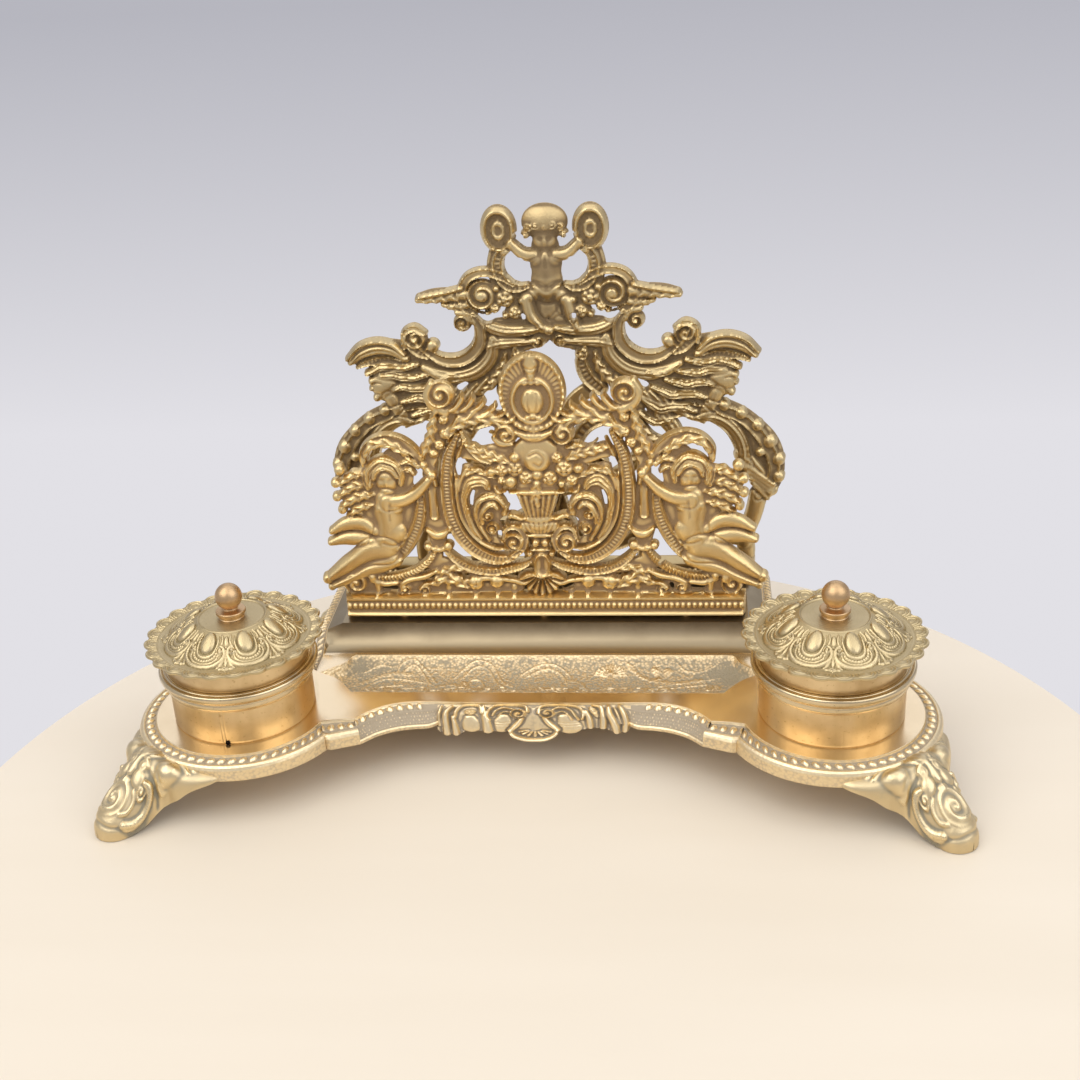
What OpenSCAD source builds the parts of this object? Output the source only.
// Desk inkstand in cast brass: a footed tray with a pen trough, two lidded ink pots
// and a letter rack of two pierced panels.
// Millimetres. X runs along the stand, Y to the back, Z up. The origin is on the
// table, under the middle of the stand.

/* [Base] */
// Height of the polished tray above the table
tray_z = 25; // [22:0.5:32]
// Thickness of the cast plate
plate_t = 3.2; // [2.4:0.1:4]
// Height of the edge band under the tray's top face
band_h = 7.5; // [6:0.1:9]
// Thickness of the edge band
band_t = 3; // [2:0.1:4]
// Radius of the polished disc that a pot stands on
pad_r = 34.8; // [33:0.1:38]
// Width of the beaded border round the tray
border_w = 7.2; // [5:0.1:9]
// Distance of the front arch's crown in front of the middle
arch_y = 24.5; // [22:0.5:28]
// Half the width over the side borders of the rack's platform
side_x = 97; // [94:0.5:104]
// Distance of the base's rear edge behind the middle
rear_y = 72; // [68:0.5:78]

/* [Pen trough] */
// Half the length of the trough's back edge
trough_half = 79.7; // [60:0.1:84]
// How far each pointed end runs past the back edge
trough_tip = 11.5; // [6:0.1:13]
// Width of the trough from front to back
trough_w = 28.7; // [20:0.1:30]
// Depth of the trough
trough_depth = 5; // [3:0.1:5.2]
// Thickness of the metal under the trough
trough_floor = 2.5; // [2:0.1:4]

/* [Platform] */
// Height of the rack's platform above the tray
platform_rise = 9; // [7:0.1:10.5]
// Width of the polished cove in front of the platform
cove_run = 11; // [10:0.1:14]
// Distance of the cove's foot behind the middle
cove_y = 11.5; // [11:0.1:13]
// Half the width of the platform's flat top
platform_half = 92.6; // [90:0.1:93]

/* [Feet] */
// Distance from a pot's axis to the middle of the toe
foot_reach = 63.5; // [58:0.1:70]
// Angle of a front foot from the stand's length, in degrees
foot_angle = 49.8; // [40:0.1:60]
// Radius of a front toe
toe_r = 8; // [6:0.1:9]
// Height of a front toe's lip
toe_h = 8.5; // [6:0.1:10]
// Distance from the rear corner to the middle of a rear toe
rear_reach = 25.3; // [20:0.1:32]
// Angle of a rear foot from the stand's length, in degrees
rear_angle = 44.7; // [35:0.1:55]
// Radius of a rear toe
rear_toe_r = 5; // [4:0.1:7]

/* [Ink pots] */
// Distance between the pots' axes
pot_pitch = 231; // [220:0.5:250]
// Distance of the pots' axes in front of the middle
pot_front = 28.3; // [26:0.1:32]
// Outside radius of a pot's wall
cup_r = 27.8; // [26:0.1:29]
// Thickness of a pot's wall
cup_t = 1.2; // [0.8:0.1:2]
// Height of a pot over its rim
cup_h = 22.5; // [20:0.1:28]
// Radius over the rolled rim
rim_r = 31.1; // [30:0.1:33]
// Height of the rolled rim
rim_h = 4.6; // [4:0.1:6]
// Thickness of a pot's floor
cup_floor_t = 1.6; // [1:0.1:2.5]

/* [Liners] */
// Outside radius of a glass liner
liner_r = 24.4; // [22:0.1:24.6]
// Wall of a glass liner
liner_t = 2.6; // [2:0.1:4]
// Height of a glass liner
liner_h = 15.4; // [12:0.1:15.6]
// Height of the hollow under a liner, over the bolt's head
punt_h = 2.5; // [2.2:0.1:3.5]

/* [Lids] */
// Radius over the lid's scalloped flange
lid_r = 34.8; // [33.5:0.1:37]
// Number of scallops round the flange
lobes = 24; // [16:1:32]
// Depth of a scallop
lobe_d = 1.2; // [0.6:0.1:2]
// Height of the dome over the flange's underside
dome_h = 9; // [8:0.1:12]
// Thickness of the lid's metal
lid_t = 2; // [1.4:0.1:2.6]
// Radius of the plain disc on top of the dome
disc_r = 12.8; // [9:0.1:14]
// Outside radius of the collar over the pot
collar_r = 27.8; // [27:0.1:29]
// Height of the collar over the pot
collar_h = 9.5; // [7:0.1:11]
// Depth that the collar reaches into the pot
spigot_h = 5; // [4:0.1:5.2]
// Thickness of the collar's metal
collar_t = 1.2; // [0.8:0.1:1.5]
// Clearance between the collar and the pot's wall
collar_gap = 0.4; // [0.3:0.05:0.8]

/* [Knobs] */
// Radius of the knob's ball
ball_r = 5.25; // [4:0.05:7]
// Height of the ball's centre over the lid's disc
ball_z = 8.6; // [8.2:0.1:12]
// Radius of the knob's upper step
knob_base_r = 5.8; // [5:0.1:7]
// Height of each step under the knob
knob_step_h = 1.5; // [1.2:0.1:1.6]
// Radius of the knob's neck
neck_r = 2.7; // [2:0.1:3]

/* [Letter rack] */
// Width of both panels' foot strips
rack_w = 170; // [150:1:172]
// Height of the foot strips
strip_h = 8.5; // [8:0.1:11]
// Height of the front panel over its foot strip's underside
front_h = 116; // [90:1:130]
// Height of the back panel over its foot strip's underside
back_h = 167; // [140:1:190]
// Thickness of both panels
panel_t = 5.5; // [5:0.1:7]
// Distance of the front panel behind the cove's lip
front_set = 4.5; // [4:0.1:6]
// Width of the slot that the letters stand in
slot_w = 25.5; // [18:0.1:26]
// How far the back panel is set to the right
back_shift = 5; // [0:0.5:6]
// Height of the lugs that the strips stand on
lug_h = 1; // [0.5:0.1:2]

/* [Fasteners] */
// Radius of a rack screw's thread
screw_r = 1.5; // [1.2:0.05:1.8]
// Number of screws under each panel
screw_count = 3; // [2:1:5]
// Distance between the rack screws
screw_pitch = 60; // [40:1:62]
// How far a rack screw reaches into a foot strip
screw_in = 6; // [4:0.1:7]
// Radius of a pot bolt
bolt_r = 2; // [1.5:0.1:2.4]
// Radius of the knob's stud
stud_r = 1.5; // [1.2:0.1:1.8]
// Clearance round each thread and shank
shank_gap = 0.1; // [0.05:0.01:0.2]

/* [Hidden] */
$fn = 48;

eps = 0.01;
big = 60;
pot_x = pot_pitch / 2;
pad_outer = pad_r + border_w;
band_z = tray_z - band_h;
under_z = tray_z - plate_t;
bevel_z = tray_z - 2.6;
shelf_z = tray_z - 0.8;
top_z = tray_z + platform_rise;
lip_y = cove_y + cove_run;
front_y = lip_y + front_set;
back_y = front_y + panel_t + slot_w;
strip_z = top_z + lug_h;
trough_y = cove_y - 0.2 - trough_w / 2;
trough_mid_r = (trough_w * trough_w / 4 + trough_depth * trough_depth) / (2 * trough_depth);

cup_in = cup_r - cup_t;
cup_top = tray_z + cup_h;
cup_floor_z = tray_z + cup_floor_t;
spigot_r = cup_in - collar_gap;
collar_in = spigot_r - collar_t;
lid_z = cup_top + collar_h;
disc_z = lid_z + dome_h;
bolt_head_r = bolt_r + 2.5;
bolt_head_h = punt_h - 0.7;
bolt_nut_h = 3.2;
screw_head_r = screw_r + 1.6;
screw_head_h = 2.2;
stud_nut_h = 2.6;

// ---------------------------------------------------------------- drawing with strokes
// A stroke is a list of [x, z, half width]; a smooth curve runs through its points.

function mid(a, b, c, d, t) = 0.5 * (2 * b + (c - a) * t + (2 * a - 5 * b + 4 * c - d) * t * t
    + (3 * b - a - 3 * c + d) * t * t * t);
function ends(p) = concat([2 * p[0] - p[1]], p, [2 * p[len(p) - 1] - p[len(p) - 2]]);
function curve(p, n = 3) = let (e = ends(p)) concat(
    [for (i = [0:len(p) - 2]) for (k = [0:n - 1]) mid(e[i], e[i + 1], e[i + 2], e[i + 3], k / n)],
    [p[len(p) - 1]]);
function along(q, i) = let (a = q[max(i - 1, 0)], b = q[min(i + 1, len(q) - 1)],
    d = [b[0] - a[0], b[1] - a[1]]) d / norm(d);
function edge(q, s) = [for (i = [0:len(q) - 1]) let (d = along(q, i))
    [q[i][0] - s * d[1] * q[i][2], q[i][1] + s * d[0] * q[i][2]]];
function cap(c, d, w) = [for (a = [60:-30:-60])
    [c[0] + w * (d[0] * cos(a) - d[1] * sin(a)), c[1] + w * (d[1] * cos(a) + d[0] * sin(a))]];
function flip(v) = [for (i = [len(v) - 1:-1:0]) v[i]];

module stroke(p) {
    q = curve(p);
    last = len(q) - 1;
    polygon(concat(edge(q, 1), cap(q[last], along(q, last), q[last][2]),
        flip(edge(q, -1)), cap(q[0], -along(q, 0), q[0][2])));
}
module disc(x, z, r) translate([x, z]) circle(r = r, $fn = 24);
module oval(x, z, rx, rz) polygon([for (a = [0:15:345]) [x + rx * cos(a), z + rz * sin(a)]]);
module both() {
    children();
    mirror([1, 0]) children();
}

// ---------------------------------------------------------------- letter rack
// The panels' outlines are drawn with their foot strip's underside at z = 0.
// front_half and back_half hold the strokes of one half; the other half mirrors them.

front_half = [
    [[30, 82, 2.6], [35, 72.5, 3.4], [36.3, 62, 3.4], [36, 51, 3.4], [34, 41, 3.6], [29, 31.8, 4.4],
        [22, 26.5, 4.6], [14.5, 25.6, 3.6], [9.3, 28.5, 3], [7.3, 32.5, 2.2], [9.5, 36, 2]],
    [[4, 24.5, 1.8], [9, 22, 2], [18, 19.8, 2], [27, 21, 2], [34, 24.5, 2], [39.5, 30, 2]],
    [[38, 95, 2.4], [28, 92.5, 2.6], [19, 92, 2.8], [12, 90, 2.8], [8, 86, 2.6], [7, 82.5, 2.4]],
    [[33, 81, 3], [30.5, 86, 3.4], [25, 89, 3.2], [18, 89, 2.8], [11, 86.5, 2.4]],
    [[37.5, 96, 2.4], [36, 88, 2.6], [37, 81, 2.8], [38.8, 75, 2.4], [38, 70, 2]],
    [[43, 64, 3], [43, 54, 3.6], [43, 45, 4.2], [43.2, 38, 4.8], [43, 33, 3.4]],
    [[47, 58, 2.6], [48.5, 45, 3], [51, 36, 3.4], [56, 28, 3.6], [62, 23, 3.4], [68, 21, 3], [74, 23, 2.4]],
    [[39.5, 31, 1.8], [45, 25, 1.8], [52, 19.5, 1.8], [60, 16.8, 1.8], [68, 15.6, 1.8], [73, 17, 2]],
    [[68, 73, 2.4], [69.5, 77, 2.6], [66, 81, 2.4], [60, 82.5, 2.6], [54, 81, 2.6], [49, 75, 2.4],
        [44.5, 68, 2.4], [41, 62.5, 2.4]],
    [[65, 54, 3], [57, 55, 2.8], [50, 57.5, 2.4], [44, 61, 2.2]],
    [[62, 62, 4], [62, 50, 6], [61, 42, 6.5], [63, 35, 6.5], [68, 31, 5.5], [74, 31.5, 4.6],
        [80, 26, 3.6], [86, 20.5, 3], [91, 15, 1.6]],
    [[72, 38, 2.6], [80, 38.5, 3.2], [86, 33, 3.6], [89, 26, 2.6], [90.5, 20, 2]],
    [[66, 66, 4], [74, 63.5, 4.4], [77.5, 58, 4.6], [75, 52, 5.4], [71, 46, 4]],
    [[26, 32, 2.4], [29, 39, 2.4], [30, 47, 2.2], [28.5, 55, 2.2], [24, 57.5, 2], [18, 56, 2],
        [14.5, 52, 2], [15, 48, 2.2]],
    [[32, 57, 2.4], [31, 62, 2.6], [27, 66, 2.8], [22.5, 65, 2.8], [17, 64, 3]],
    [[8, 73, 3], [16, 74, 3.6], [24, 72.5, 3.2], [31, 73, 2.8]],
    [[0, 66, 6.5], [10, 66, 4.6], [18, 65, 3]],
    [[0, 42, 4.4], [7, 44, 2.6], [13, 45, 1.8], [18, 47.5, 2]],
    [[15, 33, 1.8], [21, 34, 2], [22.8, 38, 2.2], [22, 42, 2.2], [21, 46, 2.2]],
    [[10, 77, 2.2], [5, 79.5, 2.6], [0, 81, 3]],
    [[26, 15, 2.4], [33, 17, 2.8], [38, 16, 4.6], [44, 17, 3.8], [50, 18, 2.2]],
    [[50, 18, 1.8], [56, 16.5, 1.8], [58.5, 12, 2.2], [58, 7, 2.2]],
    [[46, 25, 1.8], [42, 21, 2.4], [40, 17, 2.4]],
    [[73, 17, 2.4], [71, 12, 2.6], [72, 7, 2.6]],
    [[19, 20, 2], [19, 14, 3.4], [19.5, 7, 2.4]],
    [[28, 20, 2], [28, 14, 4], [28.5, 7, 2.4]],
    [[38, 14, 3], [40, 7, 2.4]],
    [[12, 11, 2.6], [19, 9.5, 2.6]]];
front_discs = [[10.7, 33.3, 5], [11, 81.5, 5], [36.5, 99.6, 5.2], [62, 66, 7], [20.5, 48, 5.4],
    [19.5, 40, 4.8], [79.4, 14.3, 5.8], [50.5, 11, 3.4], [75, 9, 3.6], [0, 72, 7.5]];

back_half = [
    [[3, 147, 2.4], [7, 147.6, 2.2], [13, 149.5, 2.2]],
    [[0, 149, 5.6], [0, 138, 5.8], [0, 128, 5.4], [4, 121, 4.4], [5, 115, 3.2]],
    [[19, 150, 3], [22, 142, 2.8], [20, 136, 3], [14.5, 131.5, 3], [8, 131, 2.6]],
    [[16, 137, 2.4], [23, 138.5, 2.4], [30, 137, 2.6], [34.5, 131, 3]],
    [[31, 128.5, 3.6], [40, 130, 3.2], [47, 130, 2.8], [52.5, 129, 2.2]],
    [[12, 130, 4], [17, 129, 4.4], [22, 129, 4]],
    [[8, 124, 4.4], [14, 122, 4]],
    [[36, 126, 3], [32, 121, 2.8], [28.5, 118, 2.8], [27.8, 111, 3.8], [31, 105, 4.2], [38, 101.5, 3.8],
        [46, 101.5, 3.6], [52, 105, 3.4], [55.5, 110, 3.2]],
    [[5, 117, 3.2], [14, 116, 4], [22, 115, 4.4], [27, 112, 4.4]],
    [[0, 116, 3], [3, 111, 3], [9, 108.5, 3], [16, 108, 3.6], [24, 106, 5.4], [30, 101, 5.4]],
    [[17, 106, 3.6], [17, 98, 4], [19, 90, 4]],
    [[58, 107, 4], [63, 108, 4], [70, 109.5, 3.6], [77, 107.5, 3.4], [82, 102.5, 2.6]],
    [[45, 100, 5], [56, 99, 6.5], [66, 96, 7], [70, 91, 6.6], [67, 85, 3.8]],
    [[38, 98, 6], [46, 92, 7], [44, 84, 6.4], [46, 76, 5]],
    [[26, 100, 5], [32, 92, 5], [34, 84, 4.6], [34, 74, 4]],
    [[60, 92, 5.5], [59, 85, 5], [58, 78, 4.4]],
    [[64, 83, 3], [71, 79, 4], [78, 75.5, 4.2], [84, 70, 4.6], [89, 63, 5.6], [92, 55, 5.6],
        [91, 46, 5], [86, 39, 4.4]],
    [[46, 78, 4], [56, 79, 3.6], [66, 76.5, 3.4], [74, 70.5, 3.4], [78.5, 62, 3.4], [79.5, 54, 3.4]],
    [[79, 58, 3.8], [86, 49, 3.8], [91, 42, 3.4]],
    [[80, 54, 3.4], [76, 45, 3.6], [68, 39, 3.4], [60, 39, 3.2], [54, 44, 3], [54, 50, 3]],
    [[86, 39, 4], [84, 30, 3.8], [81, 21, 3.8], [81, 12, 4], [80, 6, 4]],
    [[70, 39, 3], [72, 30, 3], [78, 24, 3.2]],
    [[46, 76, 4], [51, 68, 3.6], [49, 58, 3.6], [52, 48, 3.4], [56, 40, 3.2]],
    [[34, 74, 3.6], [40, 66, 3.4], [48, 62, 3.4]],
    [[19, 90, 3.6], [10, 84, 3.4], [4, 76, 3], [0, 70, 3]],
    [[34, 74, 3.4], [24, 76, 3.4], [14, 72, 3.4], [9, 63, 3.2], [12, 54, 3], [19, 53, 3]],
    [[40, 66, 3.2], [34, 56, 3.4], [24, 48, 3.4], [12, 44, 3.2], [0, 43, 3.4]],
    [[52, 48, 3.4], [46, 38, 3.4], [36, 30, 3.4], [24, 27, 3.2], [14, 31, 3], [10, 37, 3]],
    [[36, 30, 3], [48, 25, 3], [60, 24, 3], [70, 20, 3], [80, 18, 3]],
    [[0, 43, 3], [3, 32, 3], [8, 22, 3], [16, 17, 3], [26, 17, 3], [34, 22, 3], [38, 30, 3]],
    [[0, 26, 5], [0, 14, 5], [0, 6, 5]],
    [[16, 18, 3], [13, 12, 3], [14, 6, 3]],
    [[36, 23, 3], [37, 14, 3], [36, 6, 3]],
    [[60, 25, 3], [61, 15, 3], [60, 6, 3]]];
back_discs = [[26.5, 129.5, 7], [36, 117.5, 3.9], [57, 111.4, 5.2], [48.7, 108, 3.4],
    [54, 51, 4.4], [18.5, 55, 4.4], [11, 36, 4.2], [0, 157.4, 9.6], [0, 152, 6.4]];

rack_scale = rack_w / 170;
front_rise = (front_h - strip_h) / 107.5;
back_rise = (back_h - strip_h) / 158.5;
function set_z(z, k) = z <= 8.5 ? z * strip_h / 8.5 : strip_h + (z - 8.5) * k;
function fit(p, k) = [for (q = p) [q[0] * rack_scale, set_z(q[1], k), q[2] * rack_scale]];

module panel_half(strokes, discs, k) {
    for (s = strokes) stroke(fit(s, k));
    for (d = discs) disc(d[0] * rack_scale, set_z(d[1], k), d[2] * rack_scale);
}
module strip_outline() translate([-rack_w / 2, 0]) square([rack_w, strip_h]);
module front_outline() {
    both() panel_half(front_half, front_discs, front_rise);
    oval(0, set_z(96.5, front_rise), 12.6 * rack_scale, 14.6 * front_rise);
    oval(0, set_z(50, front_rise), 8.4 * rack_scale, 8.6 * front_rise);
    oval(0, set_z(23, front_rise), 4.6 * rack_scale, 7 * front_rise);
    stroke(fit([[0, 106, 4], [0, 112.4, 3.6]], front_rise));
    stroke(fit([[0, 44, 3], [0, 30, 4.8], [0, 26, 4]], front_rise));
    intersection() {
        oval(0, set_z(15, front_rise), 9.6 * rack_scale, 10 * front_rise);
        translate([-big, 1]) square([2 * big, big]);
    }
}
module back_outline() {
    both() panel_half(back_half, back_discs, back_rise);
    both() oval(18.4 * rack_scale, set_z(156.5, back_rise), 7.5 * rack_scale, 9.6 * back_rise);
}
module screw_places() for (i = [0:screw_count - 1])
    translate([(i - (screw_count - 1) / 2) * screw_pitch, 0]) children();

// A pierced panel: the outline, its foot strip, and the lugs that take the screws.
module panel(y, shift) difference() {
    union() {
        translate([shift, y + panel_t, strip_z]) rotate([90, 0, 0]) linear_extrude(panel_t)
            offset(r = 0.4, $fn = 12) offset(delta = -0.4) {
                intersection() {
                    children();
                    translate([-2 * big, 1]) square([4 * big, 4 * big]);
                }
                strip_outline();
            }
        screw_places() translate([shift, y + panel_t / 2, top_z])
            cylinder(r = panel_t / 2 - 0.1, h = lug_h + 1);
    }
    screw_places() translate([shift, y + panel_t / 2, top_z - eps])
        cylinder(r = screw_r + shank_gap, h = lug_h + screw_in + 0.5);
}
module front_panel() color("goldenrod") panel(front_y, 0) front_outline();
module back_panel() color("darkgoldenrod") panel(back_y, back_shift) back_outline();

module rack_screws(y, shift) screw_places() translate([shift, y + panel_t / 2, 0]) difference() {
    union() {
        translate([0, 0, top_z - plate_t - screw_head_h]) cylinder(r = screw_head_r, h = screw_head_h);
        translate([0, 0, top_z - plate_t - eps]) cylinder(r = screw_r, h = plate_t + lug_h + screw_in);
    }
    translate([-screw_head_r, -0.4, top_z - plate_t - screw_head_h - eps])
        cube([2 * screw_head_r, 0.8, 1]);
}
module front_panel_screws() color("darkkhaki") rack_screws(front_y, 0);
module back_panel_screws() color("darkkhaki") rack_screws(back_y, back_shift);

// ---------------------------------------------------------------- base casting
// The tray's outline, drawn d inside its real edge.
module plan(d) {
    for (s = [-1, 1]) translate([s * pot_x, -pot_front]) circle(r = pad_outer - d);
    half = [[0, -arch_y], [20, -arch_y - 0.8], [37.5, -arch_y - 3.7], [53, -arch_y - 8.9],
        [63, -arch_y - 16], [66, -arch_y - 19.5]];
    block = [[pot_x - 38, -pot_front - 21.7], [pot_x - 26, -pot_front - 14], [pot_x - 6, -pot_front],
        [pot_x - 6, 0]];
    front = [for (p = half) [p[0], p[1] + d]];
    right = concat(front, [for (p = block) [p[0], p[1] + d]], [[side_x - d, 4], [side_x - d, rear_y - d]]);
    polygon(concat(right, flip([for (p = right) [-p[0], p[1]]])));
}
module arch_ornament() for (s = [-1, 1]) {
    translate([0, -arch_y - 4.3]) circle(r = 11);
    translate([s * 20, -arch_y - 3]) circle(r = 6.5);
    translate([s * 35, -arch_y - 5]) circle(r = 5.5);
}
module trough_outline(d) polygon([[-trough_half - trough_tip - d, trough_y], [-trough_half, trough_y + trough_w / 2 + d],
    [trough_half, trough_y + trough_w / 2 + d], [trough_half + trough_tip + d, trough_y],
    [trough_half - 3.3, trough_y - trough_w / 2 - d], [3.3 - trough_half, trough_y - trough_w / 2 - d]]);

// A foot: seen from above it has the outline of stations [reach, half width] and a round toe;
// seen from the side it is the profile of [reach, height].
module foot(stations, profile, toe, r) intersection() {
    linear_extrude(big) {
        polygon(concat([for (s = stations) [s[0], s[1]]], flip([for (s = stations) [s[0], -s[1]]])));
        translate([toe, 0]) circle(r = r);
    }
    translate([0, big, 0]) rotate([90, 0, 0]) linear_extrude(2 * big) polygon(profile);
}
module front_foot() {
    in = pad_outer;
    out = foot_reach;
    foot([[in - 12, 27], [in - 6.6, 26], [in - 0.5, 21], [in + 3, 16.6], [in + 5, 12.8], [in + 8, 11],
            [(in + out) / 2 + 3, 9.7], [out - 1.5, 8.6], [out, toe_r]],
        [[in - 12, bevel_z], [in - 1, bevel_z + 1.4], [in + 4, bevel_z + 3.4], [in + 9, bevel_z + 1],
            [in + 15, bevel_z - 4.4], [out - 0.5, toe_h + 4.5], [out + 3.5, toe_h + 1.5],
            [out + toe_r, toe_h], [out + toe_r, 0], [out - 3.5, 0], [out - 7.5, 3], [in + 9, 6.5],
            [in + 4, 10.5], [in, 14.5], [in - 6, band_z + 1.3], [in - 12, band_z + 1.3]],
        out, toe_r);
}
module rear_foot() foot([[-6, 12], [6, 11.5], [rear_reach - 10, 8.4], [rear_reach - 3, 5.8], [rear_reach, rear_toe_r]],
    [[-6, bevel_z], [6, bevel_z - 0.4], [rear_reach - 10, 16.5], [rear_reach - 3, 10.5], [rear_reach + rear_toe_r, 7],
        [rear_reach + rear_toe_r, 0], [rear_reach - 5, 0], [rear_reach - 11, 5], [7, 12.5], [2, band_z + 1.3],
        [-6, band_z + 1.3]],
    rear_reach, rear_toe_r);

module base_casting() color("palegoldenrod") difference() {
    union() {
        difference() {
            union() {
                translate([0, 0, band_z]) linear_extrude(bevel_z - band_z) plan(0);
                translate([0, 0, bevel_z - eps]) linear_extrude(shelf_z - bevel_z + eps) plan(border_w * 0.45);
                translate([0, 0, shelf_z - eps]) linear_extrude(tray_z - shelf_z + eps) plan(border_w);
                translate([0, 0, band_z]) linear_extrude(shelf_z - band_z) arch_ornament();
            }
            translate([0, 0, band_z - eps]) linear_extrude(under_z - band_z + eps) plan(band_t);
        }
        translate([0, 0, tray_z - trough_depth - trough_floor])
            linear_extrude(trough_depth + trough_floor - plate_t + eps) trough_outline(trough_floor);
        translate([-platform_half, cove_y, under_z]) cube([2 * platform_half, rear_y - cove_y, top_z - under_z]);
        for (s = [-1, 1]) {
            translate([s * (side_x + platform_half) / 2, (lip_y + rear_y) / 2, (under_z + top_z - 3) / 2])
                cube([side_x - platform_half + 2 * eps, rear_y - lip_y, top_z - 3 - under_z], center = true);
            translate([s * pot_x, -pot_front, 0]) rotate(s > 0 ? -foot_angle : 180 + foot_angle) front_foot();
            translate([s * (side_x - 8.8), rear_y - 10, 0]) rotate(s > 0 ? rear_angle : 180 - rear_angle) rear_foot();
        }
    }
    intersection() {
        translate([0, 0, band_z]) linear_extrude(big) trough_outline(0);
        translate([0, trough_y, tray_z - trough_depth + trough_mid_r]) rotate([0, 90, 0])
            cylinder(r = trough_mid_r, h = 4 * big, center = true);
    }
    cove_r = (cove_run * cove_run + platform_rise * platform_rise) / (2 * platform_rise);
    translate([0, cove_y, tray_z + cove_r]) rotate([0, 90, 0]) cylinder(r = cove_r, h = 4 * big, center = true);
    translate([band_t - platform_half, lip_y + band_t, band_z - eps])
        cube([2 * (platform_half - band_t), rear_y - lip_y - 2 * band_t, top_z - plate_t - band_z + eps]);
    screw_places() translate([0, front_y + panel_t / 2, band_z]) cylinder(r = screw_r + 2 * shank_gap, h = big);
    screw_places() translate([back_shift, back_y + panel_t / 2, band_z]) cylinder(r = screw_r + 2 * shank_gap, h = big);
    for (s = [-1, 1]) translate([s * pot_x, -pot_front, band_z]) cylinder(r = bolt_r + 2 * shank_gap, h = big);
}

// ---------------------------------------------------------------- ink pots
module at_pot(s) translate([s * pot_x, -pot_front, 0]) children();

module cup_wall(s) color("gold") at_pot(s) translate([0, 0, tray_z]) difference() {
    cylinder(r = cup_r, h = cup_h);
    translate([0, 0, -eps]) cylinder(r = cup_in, h = cup_h + 1);
}
module cup_floor(s) color("gold") at_pot(s) translate([0, 0, tray_z]) difference() {
    cylinder(r = cup_in, h = cup_floor_t);
    translate([0, 0, -eps]) cylinder(r = bolt_r + 2 * shank_gap, h = cup_floor_t + 1);
}
module cup_rim(s) color("gold") at_pot(s) rotate_extrude() difference() {
    intersection() {
        translate([rim_r - rim_h * 0.6, cup_top - rim_h / 2]) circle(r = rim_h * 0.6);
        translate([cup_r, cup_top - rim_h]) square([rim_h * 2, rim_h]);
    }
    translate([0, 0]) square([cup_r, big]);
}
module cup_bolt(s) color("darkkhaki") at_pot(s) difference() {
    union() {
        translate([0, 0, cup_floor_z]) cylinder(r = bolt_head_r, h = bolt_head_h);
        translate([0, 0, under_z - bolt_nut_h]) cylinder(r = bolt_r, h = cup_floor_z - under_z + bolt_nut_h + eps);
    }
    translate([-bolt_head_r, -0.5, cup_floor_z + bolt_head_h - 0.9]) cube([2 * bolt_head_r, 1, 2]);
}
module cup_nut(s) color("darkkhaki") at_pot(s) translate([0, 0, under_z - bolt_nut_h + 0.4]) difference() {
    cylinder(r = bolt_r + 2.2, h = bolt_nut_h - 0.4, $fn = 6);
    translate([0, 0, -eps]) cylinder(r = bolt_r + shank_gap, h = bolt_nut_h + 1);
}
module liner(s) color("aliceblue", 0.6) at_pot(s) translate([0, 0, cup_floor_z]) difference() {
    cylinder(r = liner_r, h = liner_h);
    translate([0, 0, punt_h + liner_t * 0.8]) cylinder(r = liner_r - liner_t, h = liner_h);
    translate([0, 0, -eps]) cylinder(r = bolt_head_r + 2.5, h = punt_h);
}

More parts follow.
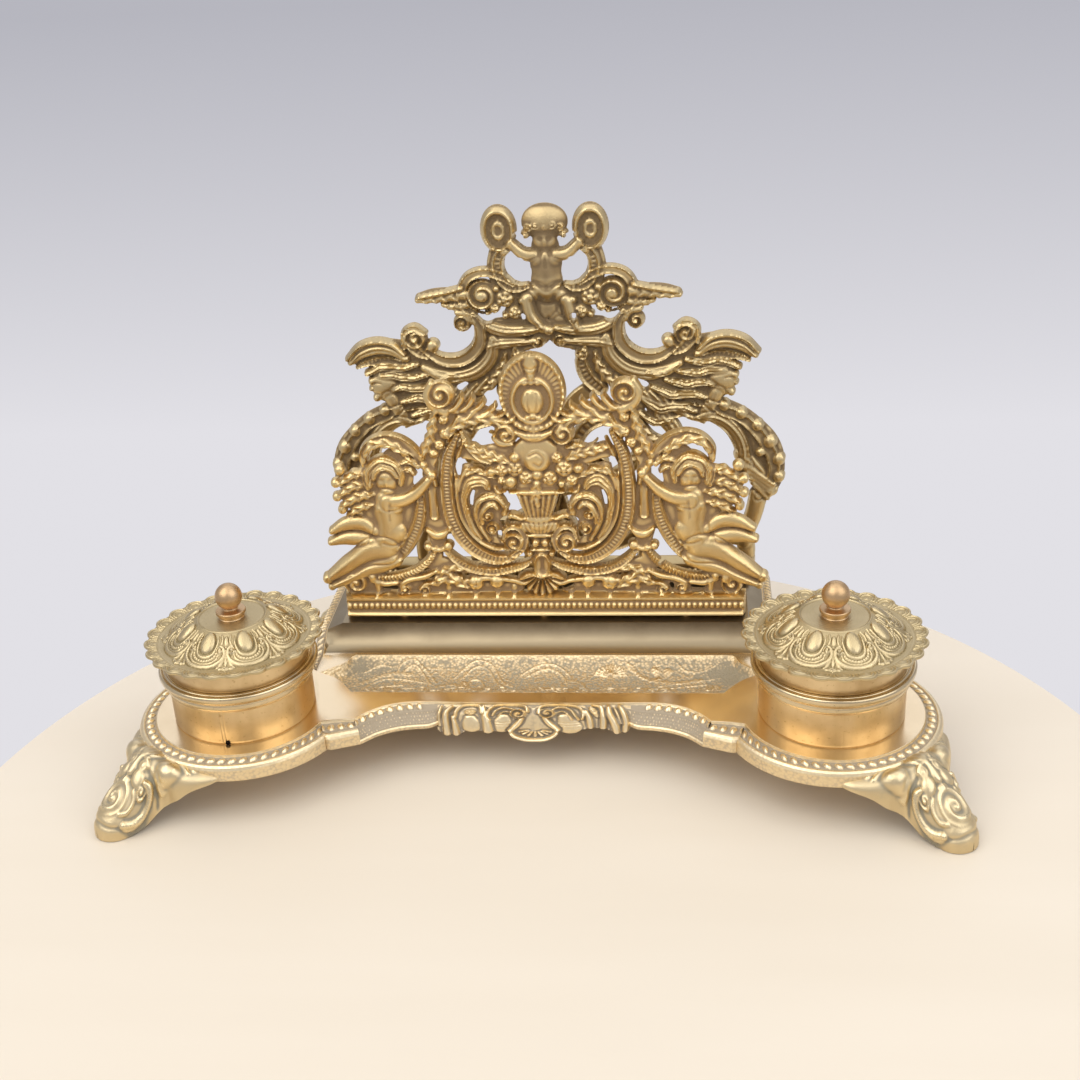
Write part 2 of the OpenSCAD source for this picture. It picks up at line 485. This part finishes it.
// ---------------------------------------------------------------- lids
module scallops() polygon([for (a = [0:2.5:357.5])
    let (r = lid_r - lobe_d * (1 - abs(cos(a * lobes / 2)))) [r * cos(a), r * sin(a)]]);
module lid_cover(s) color("khaki") at_pot(s) intersection() {
    foot_r = collar_r - 1.8;
    mid_r = (disc_r + foot_r) / 2;
    rotate_extrude() polygon([[stud_r + shank_gap, disc_z], [disc_r, disc_z], [disc_r + 1.6, disc_z - 0.4],
        [mid_r, lid_z + dome_h * 0.62], [foot_r, lid_z + lid_t - 0.6], [lid_r - 3, lid_z + lid_t - 1],
        [lid_r + 1, lid_z + lid_t - 0.2], [lid_r + 1, lid_z + 0.2], [collar_r + 1, lid_z], [collar_in, lid_z],
        [collar_in - 1.6, lid_z + 0.4], [mid_r - 0.8, lid_z + dome_h * 0.62 - lid_t],
        [disc_r + 0.8, disc_z - lid_t - 0.4], [disc_r, disc_z - lid_t], [stud_r + shank_gap, disc_z - lid_t]]);
    linear_extrude(3 * big) scallops();
}
module lid_collar(s) color("gold") at_pot(s) rotate_extrude() polygon([[collar_in, cup_top - spigot_h],
    [spigot_r, cup_top - spigot_h], [spigot_r, cup_top], [collar_r, cup_top], [collar_r, lid_z], [collar_in, lid_z]]);
module knob(s) color("gold") at_pot(s) union() {
    translate([0, 0, disc_z]) cylinder(r = knob_base_r - 0.8, h = knob_step_h + eps);
    translate([0, 0, disc_z + knob_step_h]) cylinder(r = knob_base_r, h = knob_step_h * 0.8);
    translate([0, 0, disc_z + knob_step_h * 1.8 - eps]) cylinder(r = neck_r, h = ball_z - knob_step_h * 1.8);
    translate([0, 0, disc_z + ball_z]) sphere(r = ball_r);
    translate([0, 0, disc_z - lid_t - stud_nut_h]) cylinder(r = stud_r, h = lid_t + stud_nut_h + eps);
}
module knob_nut(s) color("darkkhaki") at_pot(s) translate([0, 0, disc_z - lid_t - stud_nut_h + 0.4]) difference() {
    cylinder(r = stud_r + 2, h = stud_nut_h - 0.4, $fn = 6);
    translate([0, 0, -eps]) cylinder(r = stud_r + shank_gap, h = stud_nut_h + 1);
}

base_casting();
front_panel();
back_panel();
front_panel_screws();
back_panel_screws();
cup_wall(-1);  // left_cup_wall
cup_floor(-1);  // left_cup_floor
cup_rim(-1);  // left_cup_rim
cup_bolt(-1);  // left_cup_bolt
cup_nut(-1);  // left_cup_nut
liner(-1);  // left_liner
lid_cover(-1);  // left_lid_cover
lid_collar(-1);  // left_lid_collar
knob(-1);  // left_knob
knob_nut(-1);  // left_knob_nut
cup_wall(1);  // right_cup_wall
cup_floor(1);  // right_cup_floor
cup_rim(1);  // right_cup_rim
cup_bolt(1);  // right_cup_bolt
cup_nut(1);  // right_cup_nut
liner(1);  // right_liner
lid_cover(1);  // right_lid_cover
lid_collar(1);  // right_lid_collar
knob(1);  // right_knob
knob_nut(1);  // right_knob_nut
